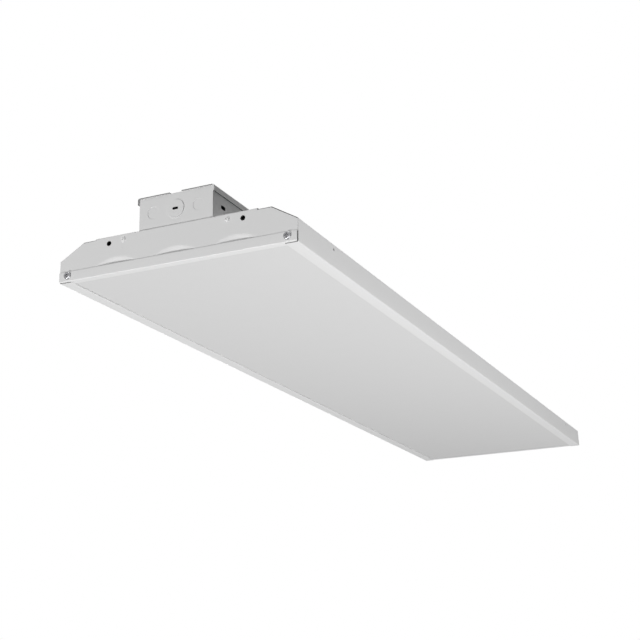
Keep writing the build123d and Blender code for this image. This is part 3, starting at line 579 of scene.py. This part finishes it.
def scoop_depth(y, z, rail_top):
    """How far a ball pressed through the plate pushes it in: three scoops with one chord and rise above the rail."""
    circle = (SCOOP_CHORD**2 / 4 + SCOOP_RISE**2) / (2 * SCOOP_RISE)
    stand_off = (2 * circle * SCOOP_RISE - SCOOP_RISE**2 - SCOOP_DEPTH**2) / (2 * SCOOP_DEPTH)
    ball = math.hypot(stand_off, circle)
    height = z - (rail_top + SCOOP_RISE - circle)
    depth = np.zeros_like(y)
    for middle in (-SCOOP_PITCH, 0.0, SCOOP_PITCH):
        room = ball**2 - (y - middle) ** 2 - height**2
        depth = np.maximum(depth, np.sqrt(np.maximum(room, 0)) - stand_off)
    return depth


def plate_part():
    """Near end plate: a face over the housing's outline with three scoops and two hanger holes, and two flanges that
    fold over the roof beside the wiring box."""
    low, high = extent("end_plate_near")
    front, bottom, top, edge = low[0], low[2], high[2], high[1]
    rail_top = extent("end_rail_near")[1][2]
    roof_inside = extent("housing")[1][2] - HOUSING_SHEET
    flange_end = front + TOP_FLANGE_DEPTH
    line = fold([(front, bottom), (front, top), (flange_end, top)], PLATE_BEND)
    arc_start, arc_end = top - PLATE_BEND - bottom, line[0][-1] - (flange_end - front - PLATE_BEND)
    slope = (roof_inside - PLATE_SIDE_HEIGHT) / (edge - PLATE_ROOF_HALF)
    step = rail_top - bottom
    rows = np.arange(0, roof_inside - bottom, PLATE_ROW)
    rows = stations(line[0], rows, [roof_inside - bottom, step - EDGE_NARROW, step - EDGE_WIDE])
    half_columns = [PLATE_ROOF_HALF, *np.linspace(SHOULDER_COLUMNS_START, edge, 8)]
    half_columns += [TOP_FLANGE_INNER - TOP_FLANGE_RELIEF, TOP_FLANGE_INNER, TOP_FLANGE_OUTER]
    columns = np.arange(-ROOF_COLUMNS_END, ROOF_COLUMNS_END + 1, PLATE_COLUMN)
    columns = stations(columns, half_columns, -np.array(half_columns))
    holes = [(side * HANGER_Y, HANGER_Z - bottom, HANGER_RADIUS, HANGER_BLOCK) for side in (-1, 1)]
    u, v, y, s, keep = holed_grid(columns, rows, holes)
    spots, faces = along(line, s)
    x, z = spots[..., 0], spots[..., 1]
    straight = (np.abs(y) < TOP_FLANGE_INNER - 1e-3) & (s > arc_start)
    share = np.clip((s - arc_start) / (arc_end - arc_start), 0, 1)
    x = np.where(straight, front, x)
    z = np.where(straight, top - PLATE_TOP_DROP - (PLATE_BEND - PLATE_TOP_DROP) * (1 - share), z)
    normal_x = np.where(straight, -1.0, faces[..., 0])
    normal_z = np.where(straight, 0.0, faces[..., 1])
    beyond = np.maximum(np.abs(y) - PLATE_ROOF_HALF, 0)
    slope_foot = rail_top + PLATE_SLOPE_START
    raised = (beyond > 0) & (z > slope_foot) & (z <= roof_inside + 1e-6)
    squeeze = (roof_inside - beyond * slope - slope_foot) / (roof_inside - slope_foot)
    z = np.where(raised, slope_foot + (z - slope_foot) * squeeze, z)
    reach = np.where(z > rail_top - EDGE_STEP, PLATE_EDGE, PLATE_EDGE_BEHIND_RAIL) - PLATE_ROOF_HALF
    widened = PLATE_ROOF_HALF + beyond * reach / (edge - PLATE_ROOF_HALF)
    y = np.where(beyond > 0, np.sign(y) * widened, y)
    x = x + np.where(normal_x < -0.99, scoop_depth(y, z, rail_top), 0.0)
    middle_y = (np.abs(u[1:]) + np.abs(u[:-1]))[:, None] / 2
    middle_s = ((v[1:] + v[:-1]) / 2)[None, :]
    keep &= ~((middle_y > TOP_FLANGE_OUTER) & (middle_s > roof_inside - bottom))
    keep &= ~((middle_y < TOP_FLANGE_INNER - TOP_FLANGE_RELIEF) & (middle_s > arc_end))
    relief = (middle_y > TOP_FLANGE_INNER - TOP_FLANGE_RELIEF) & (middle_y < TOP_FLANGE_INNER)
    keep &= ~(relief & (middle_s > arc_start))
    points = np.stack([x, y, z], -1)
    normals = np.stack([normal_x, np.zeros_like(x), normal_z], -1)
    return sheet(points, normals, PLATE_SHEET, keep)


def rail_part():
    """Near end rail: a lip at the lens's end, folded up into a face in front of the plate. The lip is narrower than
    the face, because it lies between the side walls."""
    low, high = extent("end_rail_near")
    inner = extent("housing")[1][1] - HOUSING_SHEET - RAIL_LIP_GAP
    line = fold([(high[0], low[2]), (low[0], low[2]), (low[0], high[2])], RAIL_BEND, 8)
    lip_end = line[0][1]
    u = stations(np.linspace(low[1], high[1], 41), [-inner, inner])
    v = stations(line[0], [lip_end - RAIL_LAST_ROW])
    y, s = np.meshgrid(u, v, indexing="ij")
    middle = np.abs(u[1:] + u[:-1])[:, None] / 2
    keep = ~((middle > inner) & ((v[1:] + v[:-1])[None, :] / 2 < lip_end))
    return sheet(*carried(line, s, y, 1), RAIL_SHEET, keep)


def flat_panel(low, high, bottom, thickness, counts):
    """Flat panel between two corners, its lower face as a grid."""
    x, y = np.meshgrid(*[np.linspace(low[k], high[k], counts[k]) for k in (0, 1)], indexing="ij")
    points = np.stack([x, y, np.full_like(x, bottom)], -1)
    return sheet(points, np.broadcast_to(np.array([0.0, 0.0, -1.0]), points.shape), thickness)


def lens_part():
    """Lens: one panel between the two rails' lips, on thin foam tape along both return flanges."""
    low, high = extent("lens")
    low[0], high[0] = extent("end_rail_near")[1][0], extent("end_rail_far")[0][0]
    return flat_panel(low, high, HOUSING_SHEET + LENS_FOAM, high[2] - low[2], (49, 13))


def foam_part(side):
    """Foam tape on one return flange."""
    return flat_panel(*extent(f"lens_cushion_{side}"), HOUSING_SHEET, LENS_FOAM, (61, 4))


# Wiring box

def wall_slug(seat, along_wall, outward, radius, slot, step, count=72):
    """Knockout slug in a wall: rings between the outline of its pry slot and its rim, a step proud of the wall or
    behind it. The slot's outline is the cosine and sine of the angle, with its straight part added lengthwise."""
    seat, along_wall, outward = (np.asarray(one, float) for one in (seat, along_wall, outward))
    angle = np.linspace(0, 2 * np.pi, count, endpoint=False)[:, None]
    share = np.array([0.0, 0.08, 0.5, 0.93, 1.0])[None, :]
    slot_u = slot[1] * np.cos(angle) + (slot[0] - slot[1]) * np.clip(4 * np.cos(angle), -1, 1)
    slot_v = slot[1] * np.sin(angle)
    u = slot_u + share * (radius * np.cos(angle) - slot_u)
    v = slot_v + share * (radius * np.sin(angle) - slot_v)
    points = seat + step * outward + u[..., None] * along_wall + v[..., None] * np.array([0.0, 0.0, 1.0])
    return sheet(points, np.broadcast_to(outward, points.shape), BOX_SHEET, closed=True)


def slug_hole(length, across, radius):
    """Hole that a knockout slug waits in. The block of cells around it is 1.3 times as wide and 0.6 mm more."""
    hole = radius + SLUG_GAP
    return length, across, hole, 1.3 * hole + 0.6


def box_parts():
    """Wiring box: a strip folded into the near wall, floor, far wall and two lips, a flat wall down each side, and
    the slugs that wait in their holes."""
    low, high = extent("box_body")
    x0, x1, half, z0, z1 = low[0] + BOX_SETBACK, high[0], high[1] - BOX_INSET, low[2], high[2]
    corners = [(x1 - BOX_LIP, z1), (x1, z1), (x1, z0), (x0, z0), (x0, z1), (x0 + BOX_LIP, z1)]
    line = fold(corners, BOX_BEND, 8)
    knock_z = (z0 + BOX_SHEET + z1) / 2
    # Lengths at the knockouts' level: the line's first 12 points run down the far wall, and the near wall mirrors it
    far_length = np.interp(-knock_z, -line[1][:12, 1], line[0][:12])
    near_length = line[0][-1] - far_length
    small = [(y, SMALL_KNOCKOUT_RADIUS) for y in (-SMALL_KNOCKOUT_OFFSET, SMALL_KNOCKOUT_OFFSET)]
    holes = [slug_hole(length, 0.0, KNOCKOUT_RADIUS) for length in (near_length, far_length)]
    holes += [slug_hole(near_length, y, radius) for y, radius in small]
    _, _, s, y, keep = holed_grid(line[0], [-half, half], holes)
    parts = [sheet(*carried(line, s, y, 1), BOX_SHEET, keep)]
    near, far = ((0, 1, 0), (-1, 0, 0)), ((0, 1, 0), (1, 0, 0))
    parts.append(wall_slug((x0, 0, knock_z), *near, KNOCKOUT_RADIUS, PRY_SLOT_HALF, KNOCKOUT_STEP))
    parts.append(wall_slug((x1, 0, knock_z), *far, KNOCKOUT_RADIUS, PRY_SLOT_HALF, -FLUSH_KNOCKOUT_STEP))
    for y, radius in small:
        parts.append(wall_slug((x0, y, knock_z), *near, radius, NO_SLOT_HALF, -SMALL_KNOCKOUT_STEP))
    for side in (-1, 1):
        hole = slug_hole(x0 + SIDE_KNOCKOUT_SETBACK, knock_z, KNOCKOUT_RADIUS)
        ends, levels = [x0 + BOX_SHEET, x1 - BOX_SHEET], [z0 + BOX_SHEET, z1 - BOX_SHEET]
        _, _, x, z, keep = holed_grid(ends, levels, [hole])
        points = np.stack([x, np.full_like(x, side * half), z], -1)
        parts.append(sheet(points, np.broadcast_to(np.array([0.0, side, 0.0]), points.shape), BOX_SHEET, keep))
        seat = (hole[0], side * half, knock_z)
        flat = ((1, 0, 0), (0, side, 0))
        parts.append(wall_slug(seat, *flat, KNOCKOUT_RADIUS, SIDE_SLOT_HALF, -FLUSH_KNOCKOUT_STEP))
    return parts


def cover_part():
    """Cover of the wiring box: a flange down each side and a finger notch in the near edge."""
    low, high = extent("box_cover")
    low[1] -= COVER_STAND_OFF - COVER_SHIFT
    high[1] += COVER_STAND_OFF + COVER_SHIFT
    line = fold([(low[1], low[2]), (low[1], high[2]), (high[1], high[2]), (high[1], low[2])], COVER_BEND)
    middle = line[0][-1] / 2
    u = stations(line[0], [middle - NOTCH_HALF, middle, middle + NOTCH_HALF])
    ends = [low[0] + COVER_SETBACK, low[0] + NOTCH_DEPTH, high[0] - COVER_SETBACK]
    inset = 30.0
    v = stations(ends, np.linspace(low[0] + inset, high[0] - inset, 8))
    s, x = np.meshgrid(u, v, indexing="ij")
    in_notch = (np.abs((u[1:] + u[:-1]) / 2 - middle) < NOTCH_HALF)[:, None]
    keep = ~(in_notch & ((v[1:] + v[:-1])[None, :] / 2 < low[0] + NOTCH_DEPTH))
    return sheet(*carried(line, s, x, 0), COVER_SHEET, keep)


# Screws and rivets

def screw_part(head, height, shank, length, seat, outward):
    """Pan head screw with a cross recess. The head's height falls off as a high power of the radius, the recess is
    cut where the point lies within either bar of the cross, and the shank carries a helix."""
    ring = np.linspace(0, 1, 26)
    top_radii = head * ring
    top_heights = height * (1 - ring**5) ** 0.4
    thread = np.linspace(0, -length, 30)
    radii = np.concatenate([top_radii, [head, shank], np.full(29, shank), [0]])
    heights = np.concatenate([top_heights[:-1], [0.12 * height, 0.0, 0.0], thread[1:], [-length]])
    bar_half, bar_reach, recess = 0.15 * head, 0.58 * head, 0.55 * height
    pitch, thread_depth = 1.3, 0.06 * shank

    def shaped(angle, radius, level):
        x, y = radius * np.cos(angle), radius * np.sin(angle)
        near, far = np.minimum(abs(x), abs(y)), np.maximum(abs(x), abs(y))
        bar = np.clip((bar_half - near) / (0.05 * head), 0, 1) * np.clip((bar_reach - far) / (0.12 * head), 0, 1)
        level = np.where(level > 0.2 * height, level - recess * bar, level)
        wave = thread_depth * np.cos(angle + 2 * np.pi * level / pitch)
        return np.where(level < -0.3, radius + wave, radius), level

    vertices, quads, triangles = turned(radii, heights, 64, shaped)
    return placed(vertices, seat, outward), quads[:, ::-1], triangles[:, ::-1]


def rivet_part(seat, outward, grip):
    """Blind rivet: a low dome with the small dent of the broken mandrel, a shank and a bulb behind the sheets."""
    ring = np.linspace(0, 1, 18)
    radii = np.concatenate([RIVET_RADIUS * ring, [1.6, 1.6, 2.4, 2.4, 1.5, 0]])
    dome = RIVET_DOME * np.sqrt(np.clip(1 - ring**2.2, 0, 1)) - RIVET_DENT * np.clip(1 - (ring / 0.36) ** 6, 0, 1)
    heights = np.concatenate([dome, [0, -grip, -grip - 0.3, -grip - 1.8, -grip - 2.4, -grip - 2.4]])
    vertices, quads, triangles = turned(radii, heights, 40)
    return placed(vertices, seat, outward), quads[:, ::-1], triangles[:, ::-1]


def centre_of(node):
    """Middle of a CAD node's box in millimetres."""
    low, high = extent(node)
    return (low + high) / 2


def housing_steel_and_shade_ends(middles):
    """Cut ends of the housing's sheet, which take the dark grey of uncoated metal and painted shade; its long cut
    edges keep the coat's colour.
    """
    return np.abs(middles[:, 0]) > extent("housing")[1][0] - HOUSING_SHEET / 2


def end_steel_and_shade_edges(middles):
    """Cut edges that take the dark grey of uncoated metal and painted shade: those of an end plate apart from its
    sides, and all cut edges of an end rail's face.
    """
    side, plate_face = PLATE_EDGE_BEHIND_RAIL - PLATE_SIDE_MARGIN, extent("end_plate_far")[1][0]
    return (np.abs(middles[:, 1]) < side) | (np.abs(middles[:, 0]) > plate_face + EDGE_MARGIN)


def slot_steel_and_shade_edges(middles):
    """Cut edges of the pry slots, which take the dark grey of uncoated metal and painted shade."""
    x, y, z = middles.T
    low, high = extent("box_body")
    level = np.abs(z - (low[2] + BOX_SHEET + high[2]) / 2) < SIDE_SLOT_HALF[1] + EDGE_MARGIN
    beside = np.minimum(np.abs(y), np.abs(x - low[0] - BOX_SETBACK - SIDE_KNOCKOUT_SETBACK))
    return level & (beside < SIDE_SLOT_HALF[0] + EDGE_MARGIN)


def cover_steel_and_shade_edges(middles):
    """Dark grey of uncoated metal and painted shade on the cut edges of the cover: full along the lower edges of its
    flanges, less at its ends, and none at the near end of its right flange, which the light reaches."""
    low = extent("box_cover")[0]
    right_flange = middles[:, 1] < low[1] + 2 * COVER_SHEET
    lower = middles[:, 2] < low[2] + 2 * EDGE_MARGIN
    return np.where(lower, 1.0, np.where(right_flange, 0.0, COVER_END_STEEL_AND_SHADE))


# The sheets below take dark cut edges: uncoated metal with painted shade.
piece("housing_shell", [housing_part()], "housing_paint", ["housing"], bevel=0.18, steel_and_shade_edges=housing_steel_and_shade_ends)
near_plate = plate_part()
piece("plate_near", [near_plate], "end_paint", ["end_plate_near"], bevel=0.2, steel_and_shade_edges=end_steel_and_shade_edges)
piece("plate_far", [swap_ends(near_plate)], "end_paint", ["end_plate_far"], bevel=0.2, steel_and_shade_edges=end_steel_and_shade_edges)
near_rail = rail_part()
piece("rail_near", [near_rail], "end_paint", ["end_rail_near"], bevel=0.25, steel_and_shade_edges=end_steel_and_shade_edges)
piece("rail_far", [swap_ends(near_rail)], "end_paint", ["end_rail_far"], bevel=0.25, steel_and_shade_edges=end_steel_and_shade_edges)
piece("lens_panel", [lens_part()], "frosted_lens", ["lens"], bevel=0.3)
for side in ("left", "right"):
    piece(f"foam_tape_{side}", [foam_part(side)], "foam", [f"lens_cushion_{side}"])
piece("box_walls", box_parts(), "box_paint", ["box_body"], bevel=0.12, steel_and_shade_edges=slot_steel_and_shade_edges)
piece("box_lid", [cover_part()], "box_paint", ["box_cover"], bevel=0.15, steel_and_shade_edges=cover_steel_and_shade_edges)

for end, way in (("near", -1), ("far", 1)):
    plate_low, plate_high = extent(f"end_plate_{end}")
    rail_low, rail_high = extent(f"end_rail_{end}")
    rail_face = rail_low[0] if way < 0 else rail_high[0]
    plate_face = plate_low[0] if way < 0 else plate_high[0]
    for side in ("left", "right"):
        node = f"rail_screw_{end}_{side}"
        middle = centre_of(node)
        screw = screw_part(*RAIL_SCREW, (rail_face, middle[1], middle[2]), (way, 0, 0))
        piece(f"face_screw_{end}_{side}", [screw], "dark_screw", [node], sharp=40)
        node = f"plate_rivet_{end}_{side}"
        middle = centre_of(node)
        rivet = rivet_part((plate_face, middle[1], middle[2]), (way, 0, 0), PLATE_RIVET_GRIP)
        piece(f"face_rivet_{end}_{side}", [rivet], "rivet_paint", [node], sharp=60)
    node = f"flange_rivets_{end}"
    low, high = extent(node)
    sides = (low[1] + RIVET_RADIUS, high[1] - RIVET_RADIUS)
    pair = [rivet_part(((low[0] + high[0]) / 2, y, plate_high[2]), (0, 0, 1), FLANGE_RIVET_GRIP) for y in sides]
    piece(f"top_rivets_{end}", pair, "rivet_paint", [node], sharp=60)

for number in (1, 2, 3, 4):
    node = f"cover_screw_{number}"
    middle = centre_of(node)
    side = math.copysign(1, middle[1])
    seat = (middle[0], side * (extent("box_cover")[1][1] + COVER_STAND_OFF) + COVER_SHIFT, middle[2])
    screw = screw_part(*COVER_SCREW, seat, (0, side, 0))
    piece(f"lid_screw_{number}", [screw], "zinc_screw", [node], sharp=40)

slots = {row["node"]: row["material_slot"] for row in frame["record"]["subparts"]}
for node, thing in frame["nodes"].items():
    thing.data.materials.clear()
    thing.data.materials.append(FINISHES[slots[node]])


# Lamps and world

def lamp(name, place, target, size, power):
    """Square soft lamp that faces a target."""
    data = bpy.data.lights.new(name, "AREA")
    data.shape = "SQUARE"
    data.size = size
    data.energy = power
    thing = bpy.data.objects.new(name, data)
    thing.location = place
    thing.rotation_mode = "QUATERNION"
    thing.rotation_quaternion = (Vector(target) - Vector(place)).to_track_quat("-Z", "Y")
    thing.visible_camera = False
    bpy.context.scene.collection.objects.link(thing)


def sun(name, direction, strength, angle):
    """Distant lamp that shines along a direction."""
    data = bpy.data.lights.new(name, "SUN")
    data.energy = strength
    data.angle = math.radians(angle)
    thing = bpy.data.objects.new(name, data)
    thing.rotation_mode = "QUATERNION"
    thing.rotation_quaternion = Vector(direction).to_track_quat("-Z", "Y")
    bpy.context.scene.collection.objects.link(thing)


# The key lamp stands below the near end and to its left. Softer ones fill the near end, its right corner and the
# long right side. One past the far end lights that end from above the underside's plane, so that the underside takes
# no glare from it, and a weak sun lights the roof.
lamp("key_lamp", (-2.9, 1.8, -2.1), (-0.2, 0.0, 0.0), 0.5, 65.0)
lamp("near_end_lamp", (-3.4, 0.2, -0.6), (-0.2, 0.0, 0.0), 1.0, 23.0)
lamp("near_corner_lamp", (-2.6, -1.6, -0.5), (-0.2, 0.0, 0.0), 1.0, 9.0)
lamp("long_side_lamp", (-0.3, -1.6, -1.6), (-0.2, 0.0, 0.0), 1.0, 32.0)
lamp("level_side_lamp", (-0.3, -2.6, -1.7), (-0.2, 0.0, 0.0), 0.4, 13.0)
lamp("far_corner_lamp", (3.0, 1.8, 0.65), (0.2, 0.0, 0.05), 1.0, 50.0)
sun("top_lamp", (0.0, 0.0, -1.0), 1.0, 25.0)

AMBIENT = 0.06
world = bpy.data.worlds.new("world")
bpy.context.scene.world = world
world.use_nodes = True
tree = world.node_tree
background = tree.nodes["Background"]
background.inputs["Color"].default_value = (1.0, 1.0, 1.0, 1.0)
rays = tree.nodes.new("ShaderNodeLightPath")
seen = calc(tree, "MAXIMUM", rays.outputs["Is Camera Ray"], rays.outputs["Is Glossy Ray"])
seen = calc(tree, "MAXIMUM", seen, rays.outputs["Is Transmission Ray"])
tree.links.new(calc(tree, "MULTIPLY_ADD", seen, 1.0 - AMBIENT, AMBIENT), background.inputs["Strength"])

bpy.context.scene.view_settings.view_transform = "Standard"
